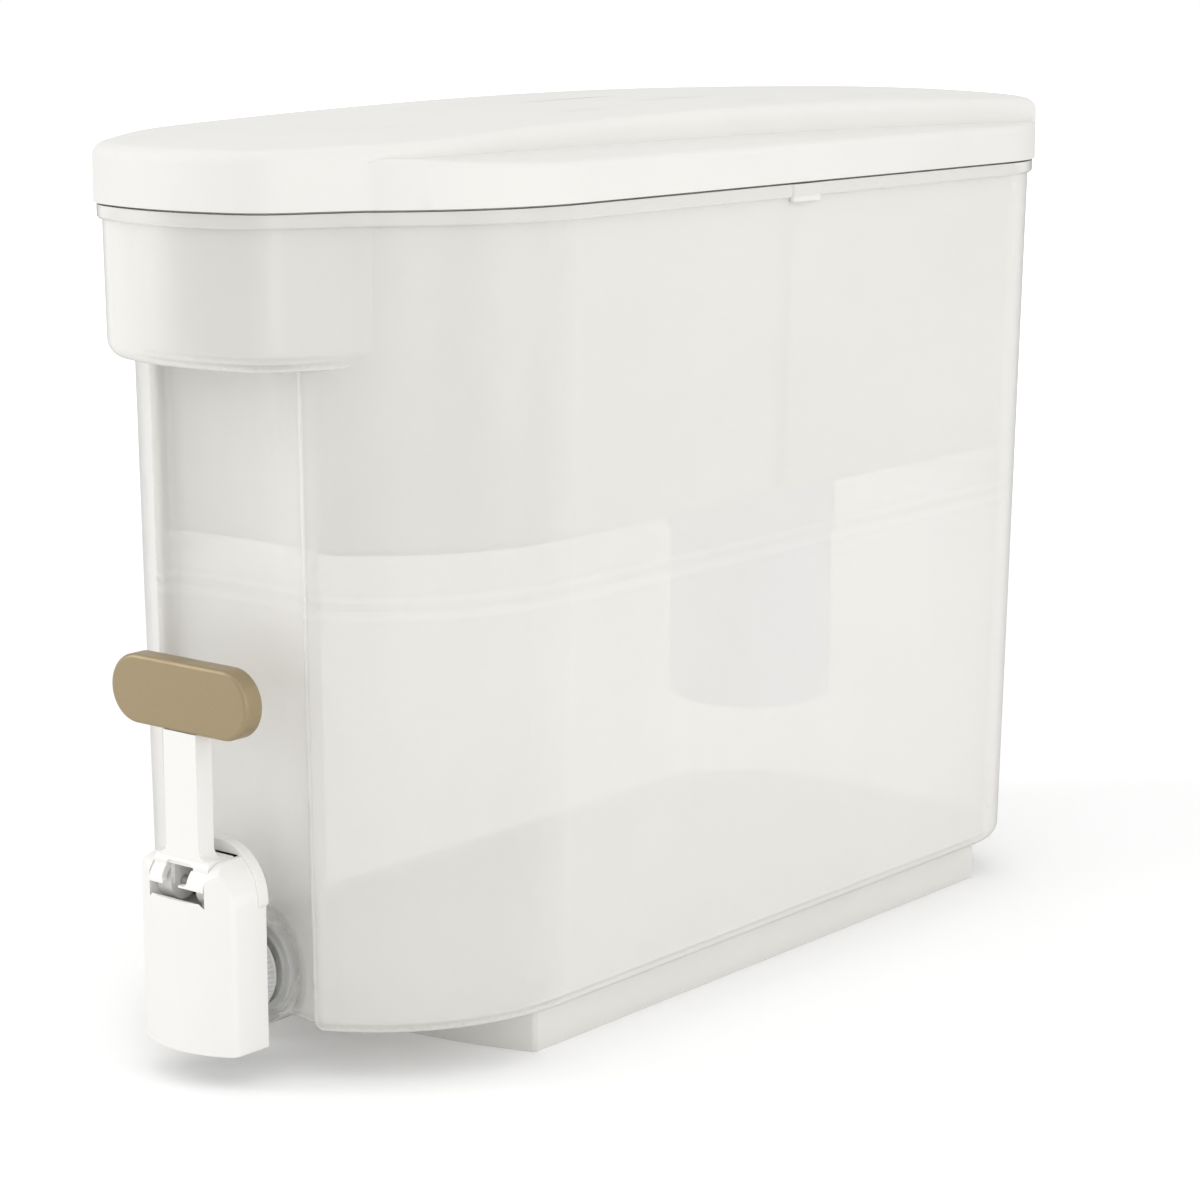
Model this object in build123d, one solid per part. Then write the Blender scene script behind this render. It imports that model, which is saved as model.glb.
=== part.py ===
from build123d import *
import math
import os

# Gravity water filter with tap.  Millimetres, +Z up, the tap faces -Y.
# The origin is on the ground, under the middle of the lid's outline.
# A "depth" is a distance behind the tip of the nose, measured along +Y.

# ---------------------------------------------------------------- driving dimensions
LENGTH = 381.0                  # nose tip to rear wall, over the lid
WIDTH = 160.0                   # over the lid
WALL = 2.2                      # tank and lid walls
DRAFT = 1.0                     # degrees, body walls narrow downwards
LEAN = 0.38                     # degrees, the body's middle moves forward on the way down

# heights above the ground
TANK_FLOOR_Z = 14.4             # underside of the tank
NOSE_BOTTOM_Z = 215.2           # underside of the nose
RIM_Z = 256.4                   # top edge of the tank
FLANGE_TOP_Z = 260.6            # top of the reservoir's flange
LID_BASE_Z = 261.3              # lower edge of the lid
LEDGE_Z = 273.3                 # lid ledge, at its outer edge
CROWN_Z = 285.5                 # highest point of the lid
RESERVOIR_FLOOR_Z = 160.0       # underside of the reservoir
BEAD_Z = 145.2                  # fill bead inside the tank

# plan of the lid; the other outlines are insets of it
FRONT_DEPTH = 96.9              # centre of the body's half round front
FRONT_R = WIDTH / 2
REAR_CENTRE = (35.0, 332.0)     # centre (x, depth) of the rear corners
REAR_R = WIDTH / 2 - REAR_CENTRE[0]
NOSE_FRONT_R = 80.0
NOSE_CORNER_R = 25.0
NOSE_SWEEP = (19.2, 60.5)       # degrees off the nose's axis, start and end of that arc
NOSE_BACK_DEPTH = 62.0          # where the nose's plan ends, inside the body
CREASE_R = 12.0                 # hollow between the nose's flank and the body
CREASE_TURN = 17.0              # degrees turned in it before it is inside the body

# insets from the lid's outline
FLANGE_INSET = 0.9
TANK_INSET = 2.4
RESERVOIR_INSET = 5.2
RESERVOIR_WALL = 1.8
TRAY_LIFT = 4.0                 # the reservoir's nose stays this far above the tank's
BEAD_HALF = 0.8                 # fill bead: half its height, and how far it stands off the wall
BEAD_PROUD = 0.7
GUSSET = 12.0                   # ribs beside the filter cup, both legs
VENT_DEPTH = 203.9              # air channels in both flanks
VENT_R = 3.6
VENT_TOP_Z = 246.0
TAB_DEPTHS = (201.5, 216.3)     # lifting tabs under the flange

# rounded bottom edges
TANK_EDGE_R = 4.8
NOSE_EDGE_R = 6.0
RESERVOIR_EDGE_R = 3.5

# upright channel in the front of tank and reservoir, under the nose
CHANNEL_HALF = 29.0
CHANNEL_DEPTH = 33.9            # its middle, at the rim's height
CHANNEL_R = 140.0
CHANNEL_ROOT_R = 3.0            # hollow corners of the tank's channel
INNER_ROOT_R = 1.2              # the same behind the tank's wall and on the reservoir
CHANNEL_EDGE_R = 2.2            # outer corners of the tank's channel
RESERVOIR_CHANNEL_EDGE_R = 1.5

# tap boss
BOSS_R = 18.3
BOSS_FACE_DEPTH = 31.4
BOSS_END_DEPTH = 45.0
BOSS_EDGE_R = 1.6
SHANK_Z = 28.5                  # height of the tap's shank

# foot skirt
FOOT_HALF = 66.0
FOOT_FRONT_DEPTH = 77.4
FOOT_REAR_DEPTH = 349.4
FOOT_ARC_R = 187.0
FOOT_WALL = 2.5
FOOT_CORNER_R = 2.0

# lid
CROWN_DEPTH = 237.4             # where the lid is highest
CROWN_LONG_R = 4050.0
CROWN_CROSS_R = 1400.0
LEDGE_R = 700.0                 # cross section of the two side ledges
LEDGE_EDGE_R = 2.5
CROWN_EDGE_R = 4.5
LIP_GAP = 0.5                   # lid's lip to the reservoir's wall
LIP_WALL = 1.7
TONGUE_BEND_R = 56.0
TONGUE_SIDE_R = 1660.0
TONGUE_BEND = 31.5              # degrees turned from the nose's flank to the waist
TONGUE_SPREAD = 10.4            # degrees turned along the waist

# filter cup and cartridge
CUP_DEPTH = 288.2
CUP_R = 29.9
CUP_BOTTOM_Z = 69.5
CUP_BORE_R = 28.2
CUP_SEAT_R = 26.6
CUP_SEAT_Z = 142.5
CUP_COLLAR_Z = 130.0            # the cup is slimmer below this height
CUP_LOW_R = 28.8
CART_Z = CUP_SEAT_Z + 0.1       # underside of the cartridge's flange
CART_R = 25.5
CART_FLANGE_R = 27.3
CART_FLANGE = 2.0
CART_LENGTH = 70.0              # body below the flange
CART_FOOT_R = 24.8
CART_NECK_R = 24.0
CART_CAP_R = 22.6
CART_NECK = 15.0                # threaded neck above the flange
CART_CAP = 35.0                 # cap above the neck
CAP_INTAKE = 12.0               # height of the slotted ring
GRIP_HALF = 4.0                 # half thickness of the grip across the cap
RING_R = 26.8                   # o-ring, to the middle of its wire
RING_WIRE = 1.2
SCREEN = 1.0
RESIN_DEPTH = 26.0
CARBON_DEPTH = 46.0

# tap
PIVOT = (11.1, 59.8)            # lever pivot: depth, height
STEM_DEPTH = 14.9
TAP_HALF = 19.6
TAP_FRONT_DEPTH = 0.7
TAP_SIDE_DEPTH = 6.8
TAP_BACK_DEPTH = 20.4
TAP_BOTTOM_Z = 10.5
TAP_TOP_Z = 72.3
TAP_ARCH_R = 16.0
TAP_CORNER_R = 3.2
TAP_WALL = 2.2
EAR_TOP_Z = 69.1
EAR_R = 9.3                     # ears and pocket, about the pivot
SLOT_HALF = 11.6
SLOT_Z = 57.2
KNUCKLE_HALF = 11.4
KNUCKLE_R = 8.9
HUB_R = 5.5
HUB_HOLLOW_HALF = 5.2           # room over the valve stem, inside the lever's hub
KNUCKLE_TOP_Z = 69.4
HOUSING_FLOOR_Z = 48.6          # underside of the floor between the lever's pocket and the valve
COVER_DEPTH = (16.9, 20.8)
COVER_BOTTOM_Z = 53.5
COVER_LAP = 0.7                 # the cover stands this far outside the housing
ARM_HALF = 6.8
ARM_DEPTH = (5.4, 11.9)
ARM_FLARE_R = 3.2
TENON_HALF = 5.0                # the arm's tenon in the paddle
TENON_SHOULDER = 1.6
PADDLE_Z = 118.0
PADDLE_SIZE = (57.3, 21.2, 6.8)
PADDLE_FRONT_DEPTH = 5.0
PIN_R = 1.8
PIN_HALF = 17.6
BARREL_R = 5.0
BARREL_BOTTOM_Z = 14.0
BARREL_TOP_Z = 45.5
CHAMBER_R = 3.9
OUTLET_R = 3.0
FEED_R = 4.0
SEAT_Z = 21.5
SEAL_TOP_Z = 24.2
SPRING_Z = (33.0, 43.5)
SPRING_R = 2.6                  # to the middle of its wire
SPRING_WIRE_R = 0.35
STEM_R = 1.5
HEAD_Z = 61.1                   # underside of the stem's cross head
BONNET_AF_R = 5.2               # corner radius of the bonnet's hexagon
BONNET_ROOM_R = 6.3
SHANK_R = 8.0
SHANK_FLANGE = (9.5, 19.0, 20.6)    # radius and depths of the flange behind the housing
SHANK_END_DEPTH = 45.0
COLLAR_R = 14.0
COLLAR_DEPTH = (20.6, 29.9)
COLLAR_RIBS = 56
NUT_R = 14.2
NUT_LENGTH = 6.5
INNER_WASHER = 1.6              # thickness
RUN = 0.05                      # radial clearance of a running fit


def at(depth):
    """Y of a point this far behind the tip of the nose."""
    return depth - LENGTH / 2


def slope(degrees):
    """Sideways move for each millimetre of height."""
    return math.tan(math.radians(degrees))


# ---------------------------------------------------------------- plan outlines
def mirrored_face(edges):
    """Face between a half outline on +X and its mirror image."""
    return make_face([*edges, *[edge.mirror(Plane.YZ) for edge in edges]])


def body_sides(inset, front_angle):
    """Half of the body's plan from a point on its round front: flank, rear corner and slow rear arc."""
    rx, rd = REAR_CENTRE
    reach = LENGTH - REAR_R - rd
    rear_centre_depth = rd + (reach**2 - rx**2) / (2 * reach)
    rear_arc_r = LENGTH - rear_centre_depth
    turn = math.degrees(math.atan2(rd - rear_centre_depth, rx))
    side_x = WIDTH / 2 - inset
    return [
        CenterArc((0, at(FRONT_DEPTH)), FRONT_R - inset, front_angle, -front_angle),
        Line((side_x, at(FRONT_DEPTH)), (side_x, at(rd))),
        CenterArc((rx, at(rd)), REAR_R - inset, 0, turn),
        CenterArc((0, at(rear_centre_depth)), rear_arc_r - inset, turn, 90 - turn),
    ]


def body_face(inset):
    return mirrored_face(body_sides(inset, -90))


def channel_face(wall, draft):
    """Region that the channel takes from the body's plan, out to well before the body's front."""
    half, radius = CHANNEL_HALF + wall, CHANNEL_R + wall + draft
    centre = at(CHANNEL_DEPTH - CHANNEL_R)
    edge_y = centre + math.sqrt(radius**2 - half**2)
    turn = math.degrees(math.asin(half / radius))
    face = mirrored_face([
        CenterArc((0, centre), radius, 90, -turn),
        Line((half, edge_y), (half, at(0))),
        Line((half, at(0)), (0, at(0))),
    ])
    roots = face.vertices().sort_by(Axis.Y)[-3:-1]
    return fillet(roots, INNER_ROOT_R if wall else CHANNEL_ROOT_R)


def nose_edges(inset):
    """Half of the nose's front, a slow arc and a corner arc, then the flank's start and direction."""
    start, end = NOSE_SWEEP
    reach = NOSE_FRONT_R - NOSE_CORNER_R
    cx = reach * math.sin(math.radians(start))
    cd = NOSE_FRONT_R - reach * math.cos(math.radians(start))
    radius = NOSE_CORNER_R - inset
    normal = math.radians(end - 90)
    flank = (cx + radius * math.cos(normal), at(cd) + radius * math.sin(normal))
    edges = [
        CenterArc((0, at(NOSE_FRONT_R)), NOSE_FRONT_R - inset, -90, start),
        CenterArc((cx, at(cd)), radius, start - 90, end - start),
    ]
    return edges, flank, (-math.sin(normal), math.cos(normal))


def flank_run(inset, outward):
    """Distance along the nose's flank to the body's round front, with both moved outward."""
    _, (x, y), (dx, dy) = nose_edges(inset)
    x += outward * dy
    y -= outward * dx + at(FRONT_DEPTH)
    along = -(x * dx + y * dy)
    miss = x**2 + y**2 - along**2
    return along - math.sqrt((FRONT_R - inset + outward) ** 2 - miss)


def nose_face(inset):
    """The nose alone, flared by a hollow arc where its flank runs into the body."""
    edges, (x, y), (dx, dy) = nose_edges(inset)
    run = flank_run(inset, CREASE_R + inset)
    bend_start = (x + dx * run, y + dy * run)
    bend = JernArc(bend_start, (dx, dy), CREASE_R + inset, -CREASE_TURN)
    inside = (WIDTH * 0.3, at(NOSE_BACK_DEPTH))
    return mirrored_face([
        *edges, Line((x, y), bend_start), bend, Line(bend @ 1, inside), Line(inside, (0, inside[1])),
    ])


def from_crease(inset):
    """Half outline from the hollow arc at the nose's root to the rear; returns where it starts, too."""
    _, (x, y), (dx, dy) = nose_edges(inset)
    radius = CREASE_R + inset
    run = flank_run(inset, radius)
    start = (x + dx * run, y + dy * run)
    cx, cy = start[0] + radius * dy, start[1] - radius * dx
    front_angle = math.degrees(math.atan2(cy - at(FRONT_DEPTH), cx))
    first = math.degrees(math.atan2(dx, -dy))
    hollow = CenterArc((cx, cy), radius, first, front_angle + 180 - first)
    return start, [hollow, *body_sides(inset, front_angle)]


def outline_face(inset):
    """Body and nose in one outline."""
    edges, flank, _ = nose_edges(inset)
    start, sides = from_crease(inset)
    return mirrored_face([*edges, Line(flank, start), *sides])


def foot_face(inset):
    """Foot skirt's plan: straight flanks, slightly bowed ends, rounded corners."""
    half = FOOT_HALF - inset
    depth = FOOT_REAR_DEPTH - FOOT_FRONT_DEPTH - 2 * inset
    middle = at((FOOT_FRONT_DEPTH + FOOT_REAR_DEPTH) / 2)
    radius = FOOT_ARC_R - inset
    box = Pos(0, middle) * Rectangle(2 * half, depth)
    front = Pos(0, middle - depth / 2 + radius) * Circle(radius)
    rear = Pos(0, middle + depth / 2 - radius) * Circle(radius)
    face = box & front & rear
    return fillet(face.vertices(), max(FOOT_CORNER_R - inset, 0.5))


# ---------------------------------------------------------------- solids from outlines
def prism(face, low, high):
    return extrude(Pos(0, 0, low) * face, amount=high - low)


def section(plan, wall, z):
    """A plan at a height: smaller by the draft and further forward by the lean."""
    fall = RIM_Z - z
    return Pos(0, -fall * slope(LEAN), z) * plan(wall, fall * slope(DRAFT))


def body_plan(wall, draft):
    return body_face(TANK_INSET + wall + draft)


def nose_plan(wall, draft):
    return nose_face(TANK_INSET + wall + draft)


def drafted(plan, wall, low, high):
    """Solid between a plan's sections at two heights."""
    return loft([section(plan, wall, low), section(plan, wall, high)], ruled=True)


def hanging(plan, wall, low, high, radius):
    """Drafted solid with a rounded bottom edge."""
    solid = drafted(plan, wall, low, high)
    rim = solid.faces().sort_by(Axis.Z)[0].edges()
    return fillet(rim, radius)


def with_channel(body, wall, low, edge_radius):
    """Cuts the front channel, and rounds its outer edges where a radius is given."""
    cut = drafted(channel_face, wall, low - 1, NOSE_BOTTOM_Z + 12)
    body -= cut
    if not edge_radius:
        return body
    half = CHANNEL_HALF + wall
    outer_edges = []
    for edge in body.edges():
        middle = edge.center()
        in_channel = middle.Y < at(CHANNEL_DEPTH + 12) and middle.Z < NOSE_BOTTOM_Z
        beside = abs(abs(middle.X) - half) < 0.05 and middle.Y < at(CHANNEL_DEPTH)
        under = middle.Z < low + 0.01 and abs(middle.X) < half + 0.01
        if in_channel and (beside or under):
            outer_edges.append(edge)
    return fillet(outer_edges, edge_radius)


def along_y(radius, x, z, start, end):
    """Cylinder along Y between two depths."""
    length = end - start
    return Pos(x, at(start + length / 2), z) * Rot(X=90) * Cylinder(radius, length)


def along_x(radius, depth, z, half, centre_x=0.0):
    """Cylinder along X about a point."""
    return Pos(centre_x, at(depth), z) * Rot(Y=90) * Cylinder(radius, 2 * half)


def upright(radius, depth, low, high):
    """Vertical cylinder on the middle plane."""
    return Pos(0, at(depth), (low + high) / 2) * Cylinder(radius, high - low)


def block(half_x, depths, heights, centre_x=0.0):
    """Box between two depths and two heights."""
    (d0, d1), (z0, z1) = depths, heights
    centre = Pos(centre_x, at((d0 + d1) / 2), (z0 + z1) / 2)
    return centre * Box(2 * half_x, d1 - d0, z1 - z0)


# ---------------------------------------------------------------- tank
def tank_form(wall, top):
    """Body with its channel, nose and tap boss, all moved in by a wall from the tank's outer faces."""
    low = TANK_FLOOR_Z + wall
    body = hanging(body_plan, wall, low, top, TANK_EDGE_R - wall)
    body = with_channel(body, wall, low, 0 if wall else CHANNEL_EDGE_R)
    nose = hanging(nose_plan, wall, NOSE_BOTTOM_Z + wall, top, NOSE_EDGE_R - wall)
    boss = along_y(BOSS_R - wall, 0, SHANK_Z, BOSS_FACE_DEPTH + wall, BOSS_END_DEPTH - wall)
    if not wall:
        boss = fillet(boss.edges().filter_by(GeomType.CIRCLE), BOSS_EDGE_R)
    return body + nose + boss


def channelled_plan(wall, draft):
    return body_plan(wall, draft) - channel_face(wall, draft)


def fill_bead():
    """Half-proud bead around the inside of the tank's wall."""
    outer = extrude(section(channelled_plan, WALL - 0.4, BEAD_Z - BEAD_HALF), amount=2 * BEAD_HALF)
    inner = extrude(section(channelled_plan, WALL + BEAD_PROUD, BEAD_Z - 1), amount=2)
    return outer - inner


def make_tank():
    shell = tank_form(0, RIM_Z) - tank_form(WALL, RIM_Z + 1)
    shell -= along_y(SHANK_R + 0.2, 0, SHANK_Z, BOSS_FACE_DEPTH - 1, BOSS_FACE_DEPTH + WALL + 1)
    return shell + fill_bead()


def make_foot_skirt():
    return prism(foot_face(0) - foot_face(FOOT_WALL), 0, TANK_FLOOR_Z)


# ---------------------------------------------------------------- reservoir
def reservoir_form(inset, top):
    """Body with its channel, and nose, moved in from the reservoir's outer faces."""
    wall = RESERVOIR_INSET - TANK_INSET + inset
    low = RESERVOIR_FLOOR_Z + inset
    body = hanging(body_plan, wall, low, top, RESERVOIR_EDGE_R - inset)
    body = with_channel(body, wall, low, 0 if inset else RESERVOIR_CHANNEL_EDGE_R)
    nose_low = NOSE_BOTTOM_Z + TRAY_LIFT + inset
    nose = hanging(nose_plan, wall, nose_low, top, TRAY_LIFT - inset)
    return body + nose


def vent_channel(side):
    """Half-round air channel down the reservoir's flank, as an inner wall and the groove cut behind it."""
    wall_x = WIDTH / 2 - RESERVOIR_INSET
    heights = (RESERVOIR_FLOOR_Z + VENT_R + 2, VENT_TOP_Z)
    ends = [(side * (wall_x - slope(DRAFT) * (RIM_Z - z)), at(VENT_DEPTH), z) for z in heights]
    spine = Line(*ends)
    start = Plane(spine @ 0, z_dir=spine % 0)
    outer, inner = VENT_R + RESERVOIR_WALL, VENT_R
    wall = extrude(start * Circle(outer), amount=spine.length)
    groove = extrude(start * Circle(inner), amount=spine.length)
    for end in ends:
        wall += Pos(*end) * Rot(Y=90) * Sphere(outer)
        groove += Pos(*end) * Rot(Y=90) * Sphere(inner)
    return wall, groove


def make_reservoir():
    tray = reservoir_form(0, FLANGE_TOP_Z - 0.2)
    flange = prism(outline_face(FLANGE_INSET), RIM_Z + 0.1, FLANGE_TOP_Z)
    flange = chamfer(flange.faces().sort_by(Axis.Z)[0].edges(), 0.6)
    bead = prism(outline_face(RESERVOIR_INSET - 0.8), FLANGE_TOP_Z, FLANGE_TOP_Z + 1.4)
    shell = tray + flange + bead - reservoir_form(RESERVOIR_WALL, FLANGE_TOP_Z + 5)
    for side in (1, -1):
        wall, groove = vent_channel(side)
        shell = shell + (wall & tray) - groove
    for side in (1, -1):
        tab = block(0.85, TAB_DEPTHS, (RIM_Z - 1.4, FLANGE_TOP_Z), side * (WIDTH / 2 - 1.2))
        shell += fillet(tab.edges().filter_by(Axis.Z), 0.6)
    cup = upright(CUP_LOW_R, CUP_DEPTH, CUP_BOTTOM_Z, CUP_COLLAR_Z + 1)
    cup = fillet(cup.faces().sort_by(Axis.Z)[0].edges(), 2.0)
    cup += upright(CUP_R, CUP_DEPTH, CUP_COLLAR_Z, RESERVOIR_FLOOR_Z + RESERVOIR_WALL)
    bore = upright(CUP_BORE_R, CUP_DEPTH, CUP_SEAT_Z, RESERVOIR_FLOOR_Z + 5)
    bore += upright(CUP_SEAT_R, CUP_DEPTH, CUP_BOTTOM_Z + 2, CUP_SEAT_Z + 1)
    drain = upright(8, CUP_DEPTH, CUP_BOTTOM_Z - 1, CUP_BOTTOM_Z + 3)
    slots = [
        Pos(0, at(CUP_DEPTH), CUP_BOTTOM_Z + 1) * Rot(Z=60 * i) * Pos(16.5, 0) * Box(10, 7, 4)
        for i in range(6)
    ]
    shell = shell + cup - bore - drain - slots
    for direction in (1, -1):
        shell += gusset(direction)
    return shell


def gusset(direction):
    """Triangular rib between the reservoir's underside and its filter cup."""
    root = CUP_DEPTH + direction * (CUP_R - 0.6)
    tip = CUP_DEPTH + direction * (CUP_R + GUSSET)
    low, high = RESERVOIR_FLOOR_Z - GUSSET, RESERVOIR_FLOOR_Z + 1
    points = [(at(root), low), (at(root), high), (at(tip), high)]
    face = Plane.YZ * make_face(Polyline(*points, close=True))
    return extrude(face, amount=0.8, both=True)


# ---------------------------------------------------------------- lid
def crown_body(drop):
    """Space under the lid's crown: a slow arc across, swung along an even slower one."""
    top = CROWN_Z - drop
    section = Plane.XZ * (Pos(0, top - CROWN_CROSS_R) * Circle(CROWN_CROSS_R))
    window = Plane.XZ * (Pos(0, top - 30) * Rectangle(WIDTH + 20, 80))
    face = Pos(0, at(CROWN_DEPTH)) * (section & window)
    hub = Axis((0, at(CROWN_DEPTH), top - CROWN_LONG_R), (1, 0, 0))
    swing = math.degrees(LENGTH * 0.7 / CROWN_LONG_R)
    return revolve(face, hub, swing) + revolve(face, hub, -swing)


def tongue_face(inset):
    """Raised middle of the lid: the nose, a waist along both ledges, and the rear wall."""
    edges, (x, y), (dx, dy) = nose_edges(0)
    run = flank_run(0, 0)
    end = (x + dx * run, y + dy * run)
    bend = JernArc(end, (dx, dy), TONGUE_BEND_R, TONGUE_BEND)
    waist = JernArc(bend @ 1, bend % 1, TONGUE_SIDE_R, -TONGUE_SPREAD)
    tail = waist @ 1
    rear = at(LENGTH + 10)
    path = [
        *edges, Line((x, y), end), bend, waist,
        Line(tail, (tail.X, rear)), Line((tail.X, rear), (0, rear)),
    ]
    face = mirrored_face(path) & outline_face(0)
    return offset(face, amount=-inset) if inset else face


def ledge_face(inset):
    """The body's plan with the hollow at the root of the nose, cut off square ahead of it."""
    (x, y), sides = from_crease(inset)
    _, _, (dx, dy) = nose_edges(inset)
    ahead = (x - dx * CREASE_R, y - dy * CREASE_R)
    return mirrored_face([Line((0, ahead[1]), ahead), Line(ahead, (x, y)), *sides])


def lid_form(inset):
    """Base under the side ledges and the crowned tongue on it, both moved in by the inset."""
    ledge_top = LEDGE_Z + (WIDTH / 2) ** 2 / (2 * LEDGE_R) - inset
    barrel = along_y(LEDGE_R, 0, ledge_top - LEDGE_R, -20, LENGTH + 20)
    base = prism(ledge_face(inset), LID_BASE_Z, CROWN_Z) & barrel
    tongue = prism(tongue_face(inset), LID_BASE_Z, CROWN_Z + 5) & crown_body(inset)
    return base, tongue


def rounded_roof(solid, radius):
    roof = solid.faces().sort_by(Axis.Z)[-1]
    return fillet(roof.edges(), radius)


def make_lid():
    base, tongue = lid_form(0)
    shell = rounded_roof(base, LEDGE_EDGE_R) + rounded_roof(tongue, CROWN_EDGE_R)
    inner_base, inner_tongue = lid_form(WALL)
    shell -= inner_base + inner_tongue
    lip_outer = outline_face(RESERVOIR_INSET + RESERVOIR_WALL + LIP_GAP)
    lip_inner = outline_face(RESERVOIR_INSET + RESERVOIR_WALL + LIP_GAP + LIP_WALL)
    seat = prism(outline_face(WALL - 0.2) - lip_inner, FLANGE_TOP_Z + 1.5, FLANGE_TOP_Z + 3.5)
    lip = prism(lip_outer - lip_inner, RIM_Z - 3, FLANGE_TOP_Z + 2)
    return shell + seat + lip


# ---------------------------------------------------------------- tap
def tap_plan(inset):
    """Housing's plan: a slow front arc, straight flanks, and open at the back."""
    half, front, side = TAP_HALF - inset, TAP_FRONT_DEPTH + inset, TAP_SIDE_DEPTH + inset
    sagitta = TAP_SIDE_DEPTH - TAP_FRONT_DEPTH
    radius = (TAP_HALF**2 + sagitta**2) / (2 * sagitta)
    box = Pos(0, at((front + TAP_BACK_DEPTH) / 2)) * Rectangle(2 * half, TAP_BACK_DEPTH - front)
    face = box & (Pos(0, at(TAP_FRONT_DEPTH + radius)) * Circle(radius - inset))
    return fillet(face.vertices().sort_by(Axis.Y)[:2], max(TAP_CORNER_R - inset, 0.8))


def arch(inset, bottom, depths):
    """Arched slab across the tap: flat at the bottom, quarter circles at its upper corners."""
    half, top = TAP_HALF - inset, TAP_TOP_Z - inset
    slab = Pos(0, (bottom + top) / 2) * Rectangle(2 * half, top - bottom)
    slab = fillet(slab.vertices().sort_by(Axis.Y)[2:], TAP_ARCH_R - inset)
    start, end = depths
    return Pos(0, at(end), 0) * extrude(Plane.XZ * slab, amount=end - start)


def make_tap_back_cover():
    """Arched plate that laps the housing's edge and leaves room for the lever's hub."""
    cover = arch(-COVER_LAP, COVER_BOTTOM_Z, COVER_DEPTH)
    cover = fillet(cover.edges().filter_by(Axis.Y).sort_by(Axis.Z)[:2], 2.5)
    start, end = COVER_DEPTH
    recess = arch(1.0, COVER_BOTTOM_Z - 1, (start - 1, end - 1.6))
    recess -= block(TAP_HALF, (0, end), (EAR_TOP_Z + 0.1, TAP_TOP_Z + 5))
    return cover - recess


def make_tap_housing():
    pivot_depth, pivot_z = PIVOT
    outer = prism(tap_plan(0), TAP_BOTTOM_Z, EAR_TOP_Z) & arch(0, TAP_BOTTOM_Z - 1, (0, 30))
    back = TAP_BACK_DEPTH
    ear_space = block(30, (-5, pivot_depth), (pivot_z, EAR_TOP_Z + 5))
    ear_space -= along_x(EAR_R, *PIVOT, 40)
    ear_space -= block(30, (pivot_depth - EAR_R, pivot_depth + 1), (pivot_z - 1, pivot_z + 0.01))
    cavity = prism(tap_plan(TAP_WALL), TAP_BOTTOM_Z - 1, HOUSING_FLOOR_Z)
    cavity += block(TAP_HALF - TAP_WALL, (back - 3, back + 1), (TAP_BOTTOM_Z - 1, HOUSING_FLOOR_Z))
    slot = block(SLOT_HALF, (-5, back + 2), (SLOT_Z, TAP_TOP_Z + 5))
    pocket = along_x(EAR_R, *PIVOT, SLOT_HALF)
    stem_way = upright(STEM_R + 1.2, STEM_DEPTH, HOUSING_FLOOR_Z - 1, pivot_z)
    housing = outer - cavity - slot - pocket - stem_way - ear_space
    for side in (1, -1):
        middle = side * (SLOT_HALF + PIN_HALF + 0.2) / 2
        half = (PIN_HALF + 0.2 - SLOT_HALF) / 2
        housing -= along_x(PIN_R, *PIVOT, half + 0.01, middle)
        housing -= block(half + 0.01, (pivot_depth, back + 1), (pivot_z - PIN_R, pivot_z + PIN_R), middle)
    rib = block(1.2, (TAP_FRONT_DEPTH + 1.5, STEM_DEPTH), (20, HOUSING_FLOOR_Z))
    rib -= upright(BARREL_R, STEM_DEPTH, 10, BARREL_TOP_Z + 0.01)
    housing += rib - upright(BONNET_ROOM_R, STEM_DEPTH, BARREL_TOP_Z, 60)
    return housing - make_tap_back_cover()


def make_tap_core():
    """Valve barrel with its shank, which carries the tap on the tank's boss."""
    flange_r, flange_start, flange_end = SHANK_FLANGE
    barrel = upright(BARREL_R, STEM_DEPTH, BARREL_BOTTOM_Z, BARREL_TOP_Z)
    shank = along_y(SHANK_R, 0, SHANK_Z, flange_start, SHANK_END_DEPTH)
    neck = along_y(6.0, 0, SHANK_Z, STEM_DEPTH, flange_start + 1)
    flange = along_y(flange_r, 0, SHANK_Z, flange_start, flange_end)
    foot = upright(BARREL_R + 0.5, STEM_DEPTH, BARREL_BOTTOM_Z, BARREL_BOTTOM_Z + 3)
    outlet = upright(OUTLET_R, STEM_DEPTH, BARREL_BOTTOM_Z - 1, SEAT_Z + 1)
    chamber = upright(CHAMBER_R, STEM_DEPTH, SEAT_Z, BARREL_TOP_Z + 1)
    feed = along_y(FEED_R, 0, SHANK_Z, STEM_DEPTH + 1, SHANK_END_DEPTH + 1)
    return barrel + shank + neck + flange + foot - outlet - chamber - feed


def make_stem_bonnet():
    plug = upright(CHAMBER_R - 0.02, STEM_DEPTH, SPRING_Z[1], BARREL_TOP_Z)
    hexagon = RegularPolygon(BONNET_AF_R, 6)
    head = Pos(0, at(STEM_DEPTH), BARREL_TOP_Z) * extrude(hexagon, amount=2.6)
    return plug + head - upright(STEM_R + RUN, STEM_DEPTH, 30, 60)


def make_valve_stem():
    rod = upright(STEM_R, STEM_DEPTH, SEAT_Z + 0.8, HEAD_Z + 1)
    collar = upright(3.2, STEM_DEPTH, SPRING_Z[0] - 1, SPRING_Z[0])
    head = block(4.6, (STEM_DEPTH - 1.2, STEM_DEPTH + 1.1), (HEAD_Z, HEAD_Z + 2.4))
    return rod + collar + head


def make_valve_seal():
    disc = upright(CHAMBER_R - 0.4, STEM_DEPTH, SEAT_Z, SEAL_TOP_Z)
    disc = chamfer(disc.edges().sort_by(Axis.Z)[0], 0.3)
    return disc - upright(STEM_R, STEM_DEPTH, SEAT_Z + 0.8, SPRING_Z[0])


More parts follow.
